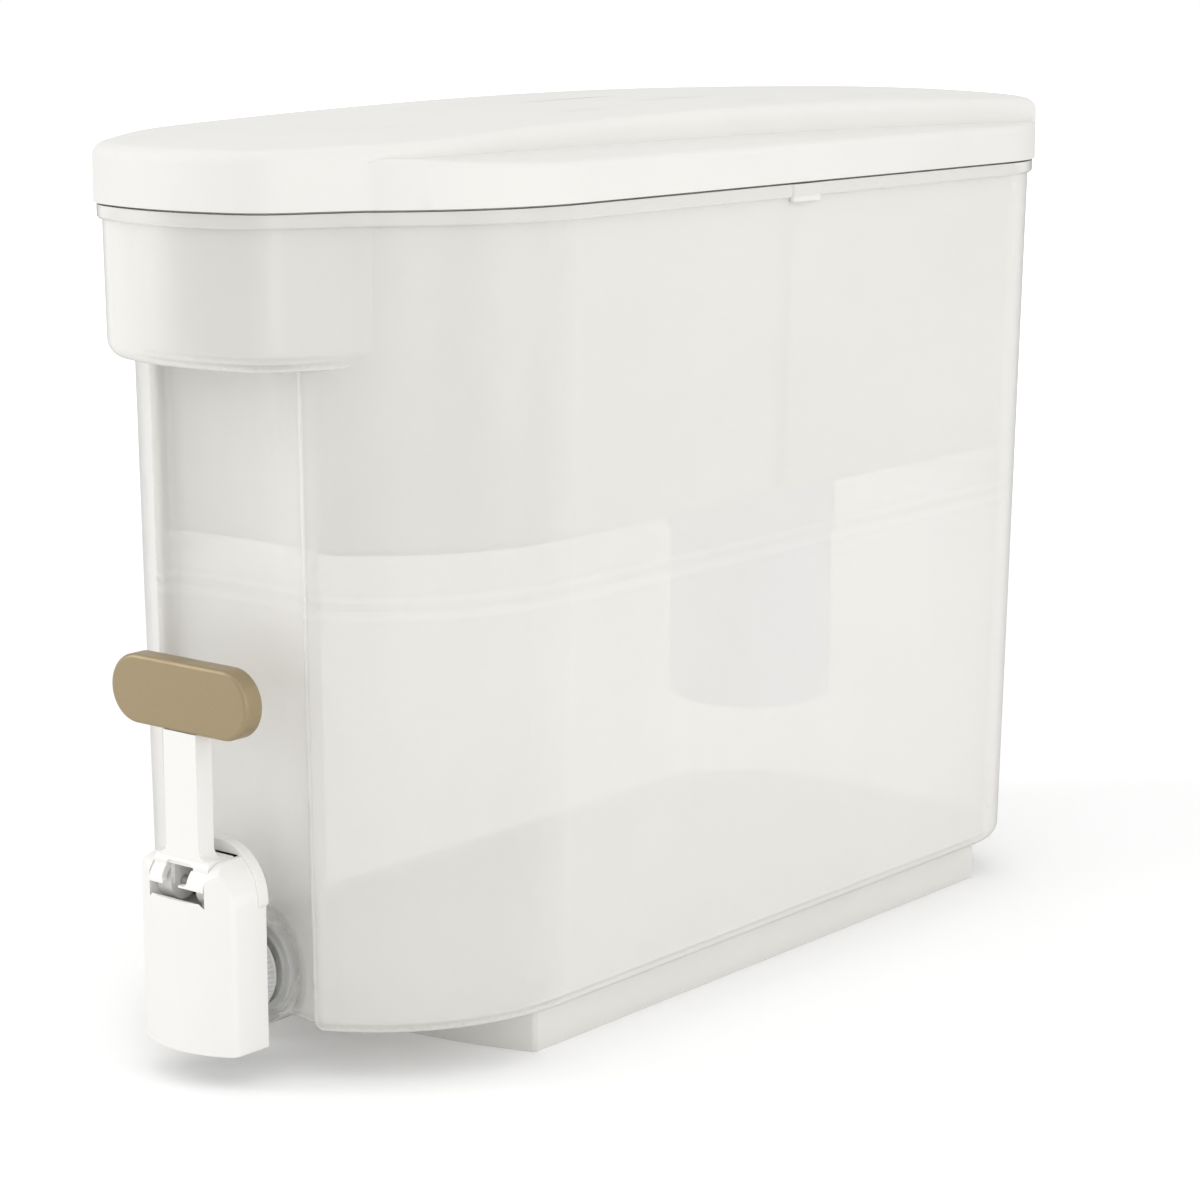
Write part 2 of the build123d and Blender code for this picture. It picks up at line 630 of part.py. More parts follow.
def make_return_spring():
    low, high = SPRING_Z
    height = high - low - 2 * SPRING_WIRE_R
    path = Helix(pitch=height / 6, height=height, radius=SPRING_R)
    wire = Plane(path @ 0, z_dir=path % 0) * Circle(SPRING_WIRE_R)
    coil = sweep(wire, path=path, is_frenet=True)
    return Pos(0, at(STEM_DEPTH), low + SPRING_WIRE_R) * coil


def make_pivot_pin():
    pin = along_x(PIN_R, *PIVOT, PIN_HALF)
    return chamfer(pin.edges().filter_by(GeomType.CIRCLE), 0.3)


def lever_window():
    """Opening in the shield: a rounded square with a narrow foot on one side."""
    width, low, high = 10.6, 61.4, 67.8
    middle = Pos(-0.9, (low + high) / 2)
    face = middle * RectangleRounded(width, high - low, 1.6)
    face += Pos(-2.2, low) * Rectangle(6.6, 3.4)
    return Pos(0, at(PIVOT[0] - 4), 0) * extrude(Plane.XZ * face, amount=10)


def make_tap_lever():
    """Lever: hub on the pin, front shield, saddle over the valve stem, and a flared arm."""
    depth, z = PIVOT
    shield = along_x(KNUCKLE_R, *PIVOT, KNUCKLE_HALF) - along_x(KNUCKLE_R - 2.0, *PIVOT, 30)
    shield &= block(30, (-5, depth), (z + 1.0, 80))
    saddle = block(KNUCKLE_HALF, (depth - 6.4, depth + 4.2), (z + 5.5, KNUCKLE_TOP_Z))
    saddle = fillet(saddle.edges().filter_by(Axis.X).group_by(Axis.Z)[-1].sort_by(Axis.Y)[0], 2.6)
    hub = along_x(HUB_R, *PIVOT, KNUCKLE_HALF)
    cheeks = block(KNUCKLE_HALF, (depth - 4.6, depth + 4.2), (z, KNUCKLE_TOP_Z - 1))
    hollow = block(HUB_HOLLOW_HALF, (depth - 6.4, depth + 10), (z - 10, KNUCKLE_TOP_Z - 2.4))
    body = shield + saddle + hub + cheeks - hollow - lever_window()
    prongs = along_x(1.0, STEM_DEPTH, z, 5.6) - along_x(1.5, STEM_DEPTH, z, 2.2)
    return body + lever_arm() + prongs - along_x(PIN_R + RUN, *PIVOT, 30)


def lever_arm():
    """Flat arm from the saddle up to the paddle, widened by fillets where it leaves the saddle."""
    front, back = ARM_DEPTH
    top = PADDLE_Z - PADDLE_SIZE[1] / 2
    low = KNUCKLE_TOP_Z - 2.8
    outline = Pos(0, (low + top) / 2) * Rectangle(2 * ARM_HALF, top - low)
    outline += Pos(0, (low + KNUCKLE_TOP_Z) / 2) * Rectangle(2 * KNUCKLE_HALF, KNUCKLE_TOP_Z - low)
    inner = [v for v in outline.vertices() if abs(abs(v.X) - ARM_HALF) < 0.1 and v.Y < KNUCKLE_TOP_Z + 1]
    outline = fillet(inner, ARM_FLARE_R)
    arm = Pos(0, at(back), 0) * extrude(Plane.XZ * outline, amount=back - front)
    return arm + tenon(top - 5)


def tenon(low):
    """End of the arm inside the paddle."""
    front, back = ARM_DEPTH
    depths = (front + TENON_SHOULDER, back - TENON_SHOULDER)
    return block(TENON_HALF, depths, (low, PADDLE_Z - 1))


def make_lever_paddle():
    """Stadium-shaped push plate, soft at its front edge, pocketed behind for the arm's tenon."""
    width, height, thick = PADDLE_SIZE
    face = Pos(0, PADDLE_Z) * SlotOverall(width, height)
    back = PADDLE_FRONT_DEPTH + thick
    plate = Pos(0, at(back), 0) * extrude(Plane.XZ * face, amount=thick)
    plate = fillet(plate.faces().sort_by(Axis.Y)[0].edges(), 1.3)
    plate = fillet(plate.faces().sort_by(Axis.Y)[-1].edges(), 0.6)
    return plate - tenon(PADDLE_Z - height)


# ---------------------------------------------------------------- fixing of the tap
def on_shank(radius, start, end):
    """Round piece threaded on the tap's shank."""
    return along_y(radius, 0, SHANK_Z, start, end) - along_y(SHANK_R, 0, SHANK_Z, start - 1, end + 1)


def ribbed(radius, rib_r, count, start, end):
    """Ribs along the shank's axis, around a rim."""
    middle = Pos(0, at((start + end) / 2), SHANK_Z)
    rib = Pos(radius, 0, 0) * Rot(X=90) * Cylinder(rib_r, end - start)
    return [middle * Rot(Y=360 * i / count) * rib for i in range(count)]


def make_tap_collar():
    """Ribbed collar that is turned by hand against the boss."""
    start, end = COLLAR_DEPTH
    collar = on_shank(COLLAR_R - 0.5, start, end)
    collar = fillet(collar.edges().filter_by(GeomType.CIRCLE).sort_by(SortBy.LENGTH)[-2:], 0.8)
    return collar + ribbed(COLLAR_R - 0.5, 0.5, COLLAR_RIBS, start + 1.0, end - 1.2)


def make_outer_washer():
    return on_shank(COLLAR_R - 1.5, COLLAR_DEPTH[1], BOSS_FACE_DEPTH)


def make_inner_washer():
    start = BOSS_FACE_DEPTH + WALL
    return on_shank(NUT_R - 1.5, start, start + INNER_WASHER)


def make_tap_nut():
    """Hexagonal nut with a round flange, inside the boss."""
    start = BOSS_FACE_DEPTH + WALL + INNER_WASHER
    flange = on_shank(NUT_R, start, start + 1.8)
    hexagon = Plane.XZ * RegularPolygon(NUT_R - 1.2, 6)
    body = Pos(0, at(start + NUT_LENGTH), SHANK_Z) * extrude(hexagon, amount=NUT_LENGTH - 1)
    return flange + body - along_y(SHANK_R, 0, SHANK_Z, start - 1, start + NUT_LENGTH + 1)


# ---------------------------------------------------------------- cartridge
def make_cartridge_body():
    """Can with a slight taper, a flange that hangs in the cup, and a neck for the cap."""
    low = CART_Z - CART_LENGTH
    can = Pos(0, at(CUP_DEPTH), (low + CART_Z) / 2) * Cone(CART_FOOT_R, CART_R, CART_LENGTH)
    can = fillet(can.edges().sort_by(Axis.Z)[0], 2.0)
    flange = upright(CART_FLANGE_R, CUP_DEPTH, CART_Z, CART_Z + CART_FLANGE)
    flange_top = CART_Z + CART_FLANGE
    shoulder = upright(RING_R - RING_WIRE, CUP_DEPTH, flange_top, flange_top + 2 * RING_WIRE)
    neck = upright(CART_NECK_R, CUP_DEPTH, flange_top, CART_Z + CART_NECK)
    inside = upright(CART_NECK_R - 1.6, CUP_DEPTH, low + 2, CART_Z + CART_NECK + 1)
    body = can + flange + shoulder + neck - inside
    for i in range(8):
        slot = Rot(Z=45 * i) * Pos(12, 0) * Box(12, 3, 6)
        body -= Pos(0, at(CUP_DEPTH), low + 1) * slot
    return body


def make_cartridge_o_ring():
    z = CART_Z + CART_FLANGE + RING_WIRE
    return Pos(0, at(CUP_DEPTH), z) * Torus(RING_R, RING_WIRE)


def make_cartridge_cap():
    """Screw cap: ribbed skirt, slotted intake ring, and a dome cut back to a finger grip."""
    base = CART_Z + CART_FLANGE + 2 * RING_WIRE + 0.2
    shoulder = CART_Z + CART_NECK
    ring_top = shoulder + CAP_INTAKE
    top = shoulder + CART_CAP
    skirt = upright(CART_NECK_R + 2, CUP_DEPTH, base, shoulder + 1.5)
    skirt = fillet(skirt.edges().sort_by(Axis.Z)[-1], 1.2)
    middle = Pos(0, at(CUP_DEPTH), (shoulder + ring_top) / 2)
    intake = middle * Cone(CART_CAP_R + 0.8, CART_CAP_R, CAP_INTAKE)
    dome_r = (CART_CAP_R**2 + (top - ring_top) ** 2) / (2 * (top - ring_top))
    ball = Pos(0, at(CUP_DEPTH), top - dome_r) * Sphere(dome_r)
    dome = upright(CART_CAP_R, CUP_DEPTH, ring_top - 0.5, top) & ball
    for side in (1, -1):
        depths = sorted((CUP_DEPTH + side * GRIP_HALF, CUP_DEPTH + side * 30))
        recess = block(14.5, depths, (ring_top + 1.5, top + 1))
        recess = fillet(recess.edges().filter_by(Axis.Y).sort_by(Axis.Z)[:2], 5)
        dome -= recess
    bore = upright(CART_NECK_R, CUP_DEPTH, base - 1, shoulder)
    bore += middle * Pos(0, 0, -0.5) * Cone(CART_CAP_R - 1, CART_CAP_R - 2, CAP_INTAKE)
    cap = skirt + intake + dome - bore
    for i in range(12):
        slot = Rot(Z=30 * i + 15) * Pos(CART_CAP_R, 0) * Box(6, 4.2, CAP_INTAKE - 5)
        cap -= middle * Pos(0, 0, 0.5) * slot
    return cap


def media_disc(radius, low, high):
    return upright(radius, CUP_DEPTH, low, high)


def make_outlet_screen():
    low = CART_Z - CART_LENGTH + 2
    return media_disc(CART_NECK_R - 1.7, low, low + SCREEN)


def make_ion_resin():
    low = CART_Z - CART_LENGTH + 2 + SCREEN
    return media_disc(CART_NECK_R - 1.7, low, low + RESIN_DEPTH)


def make_carbon_media():
    low = CART_Z - CART_LENGTH + 2 + SCREEN + RESIN_DEPTH
    return media_disc(CART_NECK_R - 1.7, low, low + CARBON_DEPTH)


def make_inlet_screen():
    low = CART_Z - CART_LENGTH + 2 + SCREEN + RESIN_DEPTH + CARBON_DEPTH
    return media_disc(CART_NECK_R - 1.7, low, low + SCREEN)


PARTS = {
    "tank": make_tank,
    "foot_skirt": make_foot_skirt,
    "reservoir": make_reservoir,
    "lid": make_lid,
    "tap_core": make_tap_core,
    "tap_housing": make_tap_housing,
    "tap_back_cover": make_tap_back_cover,
    "tap_lever": make_tap_lever,
    "lever_paddle": make_lever_paddle,
    "pivot_pin": make_pivot_pin,
    "return_spring": make_return_spring,
    "valve_stem": make_valve_stem,
    "valve_seal": make_valve_seal,
    "stem_bonnet": make_stem_bonnet,
    "tap_collar": make_tap_collar,
    "outer_washer": make_outer_washer,
    "inner_washer": make_inner_washer,
    "tap_nut": make_tap_nut,
    "cartridge_body": make_cartridge_body,
    "cartridge_cap": make_cartridge_cap,
    "cartridge_o_ring": make_cartridge_o_ring,
    "inlet_screen": make_inlet_screen,
    "carbon_media": make_carbon_media,
    "ion_resin": make_ion_resin,
    "outlet_screen": make_outlet_screen,
}


def main():
    os.makedirs("parts", exist_ok=True)
    for name, make in PARTS.items():
        solid = make()
        solid.label = name
        export_step(solid, f"parts/{name}.step")
        print(name, round(solid.volume / 1000, 2), "cm3")


if __name__ == "__main__":
    main()
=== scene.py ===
"""Dressed model of a gravity water filter: frosted tank, lift-out reservoir, lid, lever tap and cartridge.

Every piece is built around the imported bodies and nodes, in metres, in their frame: +Z up, the tap faces -Y.
Roundings of edges and reliefs of surfaces are in millimetres.
"""

import logging
import math
from dataclasses import dataclass
from enum import Enum

import bmesh
import bpy
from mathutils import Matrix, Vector


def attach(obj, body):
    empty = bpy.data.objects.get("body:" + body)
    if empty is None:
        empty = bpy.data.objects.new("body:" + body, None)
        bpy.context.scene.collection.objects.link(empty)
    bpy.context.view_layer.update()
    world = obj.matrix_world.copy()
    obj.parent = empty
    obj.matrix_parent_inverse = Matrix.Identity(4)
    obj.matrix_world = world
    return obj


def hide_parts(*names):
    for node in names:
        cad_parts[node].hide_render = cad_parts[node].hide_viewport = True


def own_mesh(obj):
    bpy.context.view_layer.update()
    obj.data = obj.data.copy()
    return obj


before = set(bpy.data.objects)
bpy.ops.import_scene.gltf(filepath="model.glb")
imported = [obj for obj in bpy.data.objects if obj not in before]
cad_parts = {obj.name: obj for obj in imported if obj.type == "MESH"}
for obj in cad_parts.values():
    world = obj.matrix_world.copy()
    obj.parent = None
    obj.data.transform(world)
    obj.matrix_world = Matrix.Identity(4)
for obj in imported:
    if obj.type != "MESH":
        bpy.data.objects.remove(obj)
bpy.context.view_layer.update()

log = logging.getLogger("water_filter")

Tree = bpy.types.NodeTree
Node = bpy.types.Node
Socket = bpy.types.NodeSocket
Mesh = bmesh.types.BMesh
Colour = tuple[float, float, float]
Point = tuple[float, float, float]
Range = tuple[float, float]

MM = 0.001
LENGTH = 0.381  # of the lid, from the tip of the nose to the rear
WELD = 0.002 * MM  # vertices closer than this are one
FLAT_ANGLE = 0.4  # degrees; facets that meet at less are one face
SMOOTH_ANGLE = 32.0  # degrees; faces that meet at less are shaded as one surface
NOISE_LOW, NOISE_MIDDLE, NOISE_HIGH = 0.3, 0.5, 0.7  # most of a noise lies between the outer two
GLOSS_TO_GRAIN = 0.06  # scale of the uneven gloss as a share of the grain's
SCUFF_TURNS = (0.35, -0.8)  # radians; the two directions whose streaks cross
SCUFF_TILT = 0.7  # turn about the second axis as a share of the turn about the others
SCUFF_STRETCH = (1.0, 9.0, 2.0)  # how much finer the streaks are along each axis


def at(depth: float) -> float:
    """Y in metres of a point this many millimetres behind the tip of the nose."""
    return depth * MM - LENGTH / 2


class Body(Enum):
    """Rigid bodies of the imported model."""

    TANK = "tank"
    LEVER = "lever"
    STEM = "stem"
    RESERVOIR = "reservoir"
    LID = "lid"
    CARTRIDGE = "cartridge"


class Slot(Enum):
    """Material slots of the record."""

    TANK = "frosted_tank"
    RESERVOIR = "frosted_reservoir"
    LID = "white_lid"
    TAP = "white_tap"
    PADDLE = "champagne_paddle"
    STEEL = "steel"
    SILICONE = "silicone"
    NUT = "clear_nut"
    CARTRIDGE = "cartridge_shell"
    RUBBER = "black_rubber"
    CLOTH = "screen_cloth"
    CARBON = "carbon"
    RESIN = "resin"


# ---------------------------------------------------------------- nodes and their sockets
def plug(tree: Tree, socket: Socket, value: object) -> None:
    """Link an input socket to an output socket, or set its own value.

    Args:
        tree: tree that holds the socket's node.
        socket: input socket.
        value: output socket, number, vector, or colour as linear RGB.
    """
    if isinstance(value, Socket):
        tree.links.new(value, socket)
    elif socket.type == "RGBA":
        socket.default_value = (*value, 1.0)
    else:
        socket.default_value = value


def feed(tree: Tree, node: Node, **values: object) -> None:
    """Plug a value into each named input of a node.

    Args:
        tree: tree that holds the node.
        node: node to feed.
        values: what plug() takes, by input name with underscores for spaces.
    """
    for label, value in values.items():
        plug(tree, node.inputs[label.replace("_", " ")], value)


def add_node(tree: Tree, kind: str, **settings: object) -> Node:
    """Add a node, set its properties and feed its inputs.

    Args:
        tree: tree that receives the node.
        kind: bl_idname without its "ShaderNode" prefix.
        settings: properties, and inputs for feed(), whose names start with a capital letter.

    Returns:
        The new node.
    """
    node = tree.nodes.new("ShaderNode" + kind)
    for key, value in settings.items():
        if key[0].isupper():
            feed(tree, node, **{key: value})
        else:
            setattr(node, key, value)
    return node


def object_place(tree: Tree) -> Socket:
    """Socket of the place on the object, in metres."""
    return add_node(tree, "TexCoord").outputs["Object"]


def calculate(tree: Tree, operation: str, *operands: object, kind: str = "Math") -> Socket:
    """Work out a number from sockets, numbers or vectors.

    Args:
        tree: tree that receives the node.
        operation: Blender's name of the operation.
        operands: what plug() takes, in the order of the node's inputs.
        kind: "Math", or "VectorMath" for operands that are vectors.

    Returns:
        The result's socket.
    """
    node = add_node(tree, kind, operation=operation)
    for socket, operand in zip(node.inputs, operands):
        plug(tree, socket, operand)
    return node.outputs["Value"]


def noise(
    tree: Tree, place: Socket, scale: Socket, detail: float, roughness: float, distortion: float = 0.0
) -> Socket:
    """Value that changes at random over the surface.

    Args:
        tree: tree that receives the node.
        place: place on the object.
        scale: how often the value changes in a metre.
        detail: how many finer layers are added.
        roughness: how strong each finer layer is.
        distortion: how far the pattern is swirled.

    Returns:
        The value's socket.
    """
    texture = add_node(
        tree, "TexNoise", Vector=place, Scale=scale, Detail=detail, Roughness=roughness, Distortion=distortion
    )
    return texture.outputs["Fac"]


def spread(tree: Tree, source: Socket, low: float = 0.0, high: float = 1.0) -> Socket:
    """Map the part of a noise where most of it lies onto a range.

    Args:
        tree: the material's node tree.
        source: noise value.
        low: result for NOISE_LOW and less.
        high: result for NOISE_HIGH and more.

    Returns:
        The mapped value's socket.
    """
    mapped = add_node(
        tree, "MapRange", Value=source, From_Min=NOISE_LOW, From_Max=NOISE_HIGH, To_Min=low, To_Max=high
    )
    return mapped.outputs[0]


def uneven(tree: Tree, source: Socket, level: float, offsets: Range) -> Socket:
    """Let a value wander about its level with a noise.

    Args:
        tree: the material's node tree.
        source: noise value.
        level: the value that is meant.
        offsets: what is added to it where the noise is low, and where it is high.

    Returns:
        The value's socket.
    """
    return spread(tree, source, level + offsets[0], level + offsets[1])


def faded(tree: Tree, source: Socket, start: float, end: float, results: Range = (0.0, 1.0)) -> Socket:
    """Pass smoothly from one result to another as a value rises.

    Args:
        tree: the material's node tree.
        source: the value.
        start: value up to which the first result holds.
        end: value from which the second result holds.
        results: the two results.

    Returns:
        The result's socket.
    """
    fade = add_node(
        tree, "MapRange", interpolation_type="SMOOTHSTEP",
        Value=source, From_Min=start, From_Max=end, To_Min=results[0], To_Max=results[1],
    )
    return fade.outputs[0]


class Blend(Enum):
    """What a mix node mixes: its data type, its first operand's input and its output."""

    COLOUR = ("RGBA", 6, 2)
    NUMBER = ("FLOAT", 2, 0)


def mixed(tree: Tree, blend: Blend, factor: Socket, first: object, second: object) -> Socket:
    """Mix two colours or two numbers by a value that changes over the surface.

    Args:
        tree: the material's node tree.
        blend: whether colours or numbers are mixed.
        factor: 0 for the first and 1 for the second.
        first: what plug() takes.
        second: what plug() takes.

    Returns:
        The result's socket.
    """
    data_type, first_input, output = blend.value
    mix = add_node(tree, "Mix", data_type=data_type)
    plug(tree, mix.inputs[0], factor)
    plug(tree, mix.inputs[first_input], first)
    plug(tree, mix.inputs[first_input + 1], second)
    return mix.outputs[output]


def raised(tree: Tree, height: Socket, strength: float, relief: float) -> Socket:
    """Normal of a surface with a fine relief.

    Args:
        tree: the material's node tree.
        height: height of the surface, from 0 to 1.
        strength: how much of the relief is seen.
        relief: what a height of 1 stands for, in millimetres.

    Returns:
        The normal's socket.
    """
    return add_node(tree, "Bump", Strength=strength, Distance=relief * MM, Height=height).outputs["Normal"]


def shade_of(colour: Colour, share: float) -> Colour:
    """The colour times a share, darker below 1 and lighter above it."""
    return tuple(channel * share for channel in colour)


# ---------------------------------------------------------------- effects that the finishes share
class Effect(Enum):
    """Shader node groups, by name."""

    GRAIN = "moulded_grain"
    SCUFFS = "hairline_scuffs"
    BEADS = "packed_beads"


def open_group(effect: Effect, inputs: dict[str, float], outputs: list[str]) -> tuple[Tree, Node, Node]:
    """Start a shader node group with float sockets.

    Args:
        effect: effect that the group makes.
        inputs: input sockets and their default values.
        outputs: output sockets.

    Returns:
        The tree, its input node and its output node.
    """
    tree = bpy.data.node_groups.new(effect.value, "ShaderNodeTree")
    for label, value in inputs.items():
        socket = tree.interface.new_socket(name=label, in_out="INPUT", socket_type="NodeSocketFloat")
        socket.default_value = value
    for label in outputs:
        tree.interface.new_socket(name=label, in_out="OUTPUT", socket_type="NodeSocketFloat")
    return tree, tree.nodes.new("NodeGroupInput"), tree.nodes.new("NodeGroupOutput")


def build_grain_group() -> Tree:
    """Surface of moulded plastic: fine texture height, uneven gloss, and slow flow marks."""
    tree, source, sink = open_group(
        Effect.GRAIN, {"Scale": 900.0, "Flow Scale": 14.0}, ["Height", "Gloss", "Flow"]
    )
    place = object_place(tree)
    gloss_scale = calculate(tree, "MULTIPLY", source.outputs["Scale"], GLOSS_TO_GRAIN)
    feed(
        tree, sink,
        Height=noise(tree, place, source.outputs["Scale"], detail=3.0, roughness=0.55),
        Gloss=noise(tree, place, gloss_scale, detail=4.0, roughness=0.6, distortion=0.4),
        Flow=noise(tree, place, source.outputs["Flow Scale"], detail=2.0, roughness=0.45, distortion=1.2),
    )
    return tree


def build_scuffs_group() -> Tree:
    """Hairline scuffs: a thin mask where two stretched noises cross their middle value."""
    tree, source, sink = open_group(Effect.SCUFFS, {"Scale": 40.0, "Width": 0.012}, ["Mask"])
    place = object_place(tree)
    masks = []
    for turn in SCUFF_TURNS:
        rotation = (turn, turn * SCUFF_TILT, turn)
        mapping = add_node(tree, "Mapping", Vector=place, Rotation=rotation, Scale=SCUFF_STRETCH)
        streaks = noise(tree, mapping.outputs[0], source.outputs["Scale"], detail=1.0, roughness=0.4)
        distance = calculate(tree, "ABSOLUTE", calculate(tree, "SUBTRACT", streaks, NOISE_MIDDLE))
        masks.append(calculate(tree, "LESS_THAN", distance, source.outputs["Width"]))
    feed(tree, sink, Mask=calculate(tree, "MULTIPLY", *masks))
    return tree


def build_beads_group() -> Tree:
    """Packed granules: a height that bulges in each cell, and one random value per cell."""
    tree, source, sink = open_group(Effect.BEADS, {"Scale": 900.0}, ["Height", "Cell"])
    place = object_place(tree)
    cells = add_node(tree, "TexVoronoi", feature="F1", Vector=place, Scale=source.outputs["Scale"])
    grey = add_node(tree, "RGBToBW", Color=cells.outputs["Color"])
    bulge = calculate(tree, "SUBTRACT", 1.0, cells.outputs["Distance"])
    feed(tree, sink, Height=bulge, Cell=grey.outputs[0])
    return tree


EFFECT_BUILDERS = {
    Effect.GRAIN: build_grain_group,
    Effect.SCUFFS: build_scuffs_group,
    Effect.BEADS: build_beads_group,
}


def use_effect(tree: Tree, effect: Effect, **values: float) -> Node:
    """Place a shared group in a material, building it on first use.

    Args:
        tree: the material's node tree.
        effect: effect to place.
        values: input values for feed().

    Returns:
        The group node.
    """
    node = tree.nodes.new("ShaderNodeGroup")
    node.node_tree = bpy.data.node_groups.get(effect.value) or EFFECT_BUILDERS[effect]()
    feed(tree, node, **values)
    return node


# ---------------------------------------------------------------- finishes
def blank_material(name: str) -> tuple[Tree, Node, bpy.types.Material]:
    """Material with only its output and a Principled shader.

    Args:
        name: name of the material.

    Returns:
        The node tree, the shader and the material.
    """
    material = bpy.data.materials.new(name)
    material.use_nodes = True
    tree = material.node_tree
    return tree, tree.nodes["Principled BSDF"], material


@dataclass(frozen=True)
class MouldedPlastic:
    """Opaque injection-moulded plastic with a fine texture, faint flow marks and hairline scuffs."""

    name: str
    colour: Colour
    roughness: float = 0.38
    specular: float = 0.5
    coat: float = 0.0
    coat_roughness: float = 0.15
    flow_shade: float = 0.975
    gloss_offsets: Range = (-0.03, 0.05)
    grain_scale: float = 1400.0
    grain_strength: float = 0.05
    grain_relief: float = 0.2
    scuff_scale: float = 30.0
    scuff_width: float = 0.006
    scuff_dulling: float = 0.06

    def make(self) -> bpy.types.Material:
        """Build the material."""
        tree, shader, material = blank_material(self.name)
        grain = use_effect(tree, Effect.GRAIN, Scale=self.grain_scale)
        scuffs = use_effect(tree, Effect.SCUFFS, Scale=self.scuff_scale, Width=self.scuff_width)
        flow = spread(tree, grain.outputs["Flow"])
        gloss = uneven(tree, grain.outputs["Gloss"], self.roughness, self.gloss_offsets)
        feed(
            tree, shader,
            Base_Color=mixed(tree, Blend.COLOUR, flow, shade_of(self.colour, self.flow_shade), self.colour),
            Roughness=calculate(tree, "MULTIPLY_ADD", scuffs.outputs["Mask"], self.scuff_dulling, gloss),
            Normal=raised(tree, grain.outputs["Height"], self.grain_strength, self.grain_relief),
            Specular_IOR_Level=self.specular,
            Coat_Weight=self.coat,
            Coat_Roughness=self.coat_roughness,
        )
        return material


@dataclass(frozen=True)
class Spot:
    """Round region of a wall with its own colour and cover."""

    centre: Point
    radius: float
    colour: Colour
    cover: float
    solid_share: float = 0.85  # of the radius; from there the spot fades to its rim


@dataclass(frozen=True)
class Band:
    """Level strip of a wall that is thicker and so denser to the eye."""

    height: float
    half: float
    extra_cover: float
    solid_share: float = 0.5  # of the half width; from there the band fades to its edges


@dataclass(frozen=True)
class FrostedPlastic:
    """Translucent frosted plastic: denser where its wall is seen edge on, and darkened there with painted
    shade.

    The cover is the share of one surface that is not seen through; a wall has two such surfaces.
    """

    name: str
    colour: Colour
    cover: float
    roughness: float = 0.36
    specular: float = 1.0
    coat: float = 0.25
    coat_roughness: float = 0.3
    # painted shade: share of the colour kept where the wall is seen edge on
    painted_edge_shade: float = 0.72
    painted_shade_turn: Range = (0.6, 1.0)
    cover_turn: Range = (0.15, 1.0)
    flow_shade: float = 0.985
    cover_offsets: Range = (-0.006, 0.006)
    gloss_offsets: Range = (-0.03, 0.05)
    grain_scale: float = 1100.0
    flow_scale: float = 9.0
    grain_strength: float = 0.05
    grain_relief: float = 0.2
    spot: Spot | None = None
    band: Band | None = None

    def make(self) -> bpy.types.Material:
        """Build the material."""
        tree, shader, material = blank_material(self.name)
        grain = use_effect(tree, Effect.GRAIN, Scale=self.grain_scale, Flow_Scale=self.flow_scale)
        flow = spread(tree, grain.outputs["Flow"])
        colour = mixed(tree, Blend.COLOUR, flow, shade_of(self.colour, self.flow_shade), self.colour)
        cover = uneven(tree, grain.outputs["Flow"], self.cover, self.cover_offsets)
        if self.spot:
            inside = self.in_spot(tree)
            # on the reservoir, the spot's colour is a painted tint standing in for the cartridge seen through
            # the cup's wall
            colour = mixed(tree, Blend.COLOUR, inside, colour, self.spot.colour)
            cover = mixed(tree, Blend.NUMBER, inside, cover, self.spot.cover)
        if self.band:
            cover = calculate(tree, "MULTIPLY_ADD", self.in_band(tree), self.band.extra_cover, cover)
        # painted shade: the colour darkens as the wall turns edge on to the eye
        painted_shade_colour = shade_of(self.colour, self.painted_edge_shade)
        feed(
            tree, shader,
            Base_Color=mixed(tree, Blend.COLOUR, self.turned(tree, self.painted_shade_turn), colour, painted_shade_colour),
            Alpha=mixed(tree, Blend.NUMBER, self.turned(tree, self.cover_turn), cover, 1.0),
            Roughness=uneven(tree, grain.outputs["Gloss"], self.roughness, self.gloss_offsets),
            Normal=raised(tree, grain.outputs["Height"], self.grain_strength, self.grain_relief),
            Specular_IOR_Level=self.specular,
            Coat_Weight=self.coat,
            Coat_Roughness=self.coat_roughness,
        )
        return material

    def turned(self, tree: Tree, turn: Range) -> Socket:
        """Mask that rises as the wall turns away from the eye.

        Args:
            tree: the material's node tree.
            turn: facing values where the mask is 0 and 1; a faced wall has 0, one seen edge on has 1.

        Returns:
            The mask's socket.
        """
        facing = add_node(tree, "LayerWeight", Blend=0.5).outputs["Facing"]
        return faded(tree, facing, *turn)

    def in_band(self, tree: Tree) -> Socket:
        """Mask of 1 at the band's middle, falling to 0 at its edges."""
        split = add_node(tree, "SeparateXYZ", Vector=object_place(tree))
        above = calculate(tree, "SUBTRACT", split.outputs["Z"], self.band.height)
        away = calculate(tree, "ABSOLUTE", above)
        return faded(tree, away, self.band.half * self.band.solid_share, self.band.half, (1.0, 0.0))

    def in_spot(self, tree: Tree) -> Socket:
        """Mask of 1 around the spot's centre, falling to 0 at its rim."""
        away = calculate(tree, "DISTANCE", object_place(tree), self.spot.centre, kind="VectorMath")
        return faded(tree, away, self.spot.radius * self.spot.solid_share, self.spot.radius, (1.0, 0.0))


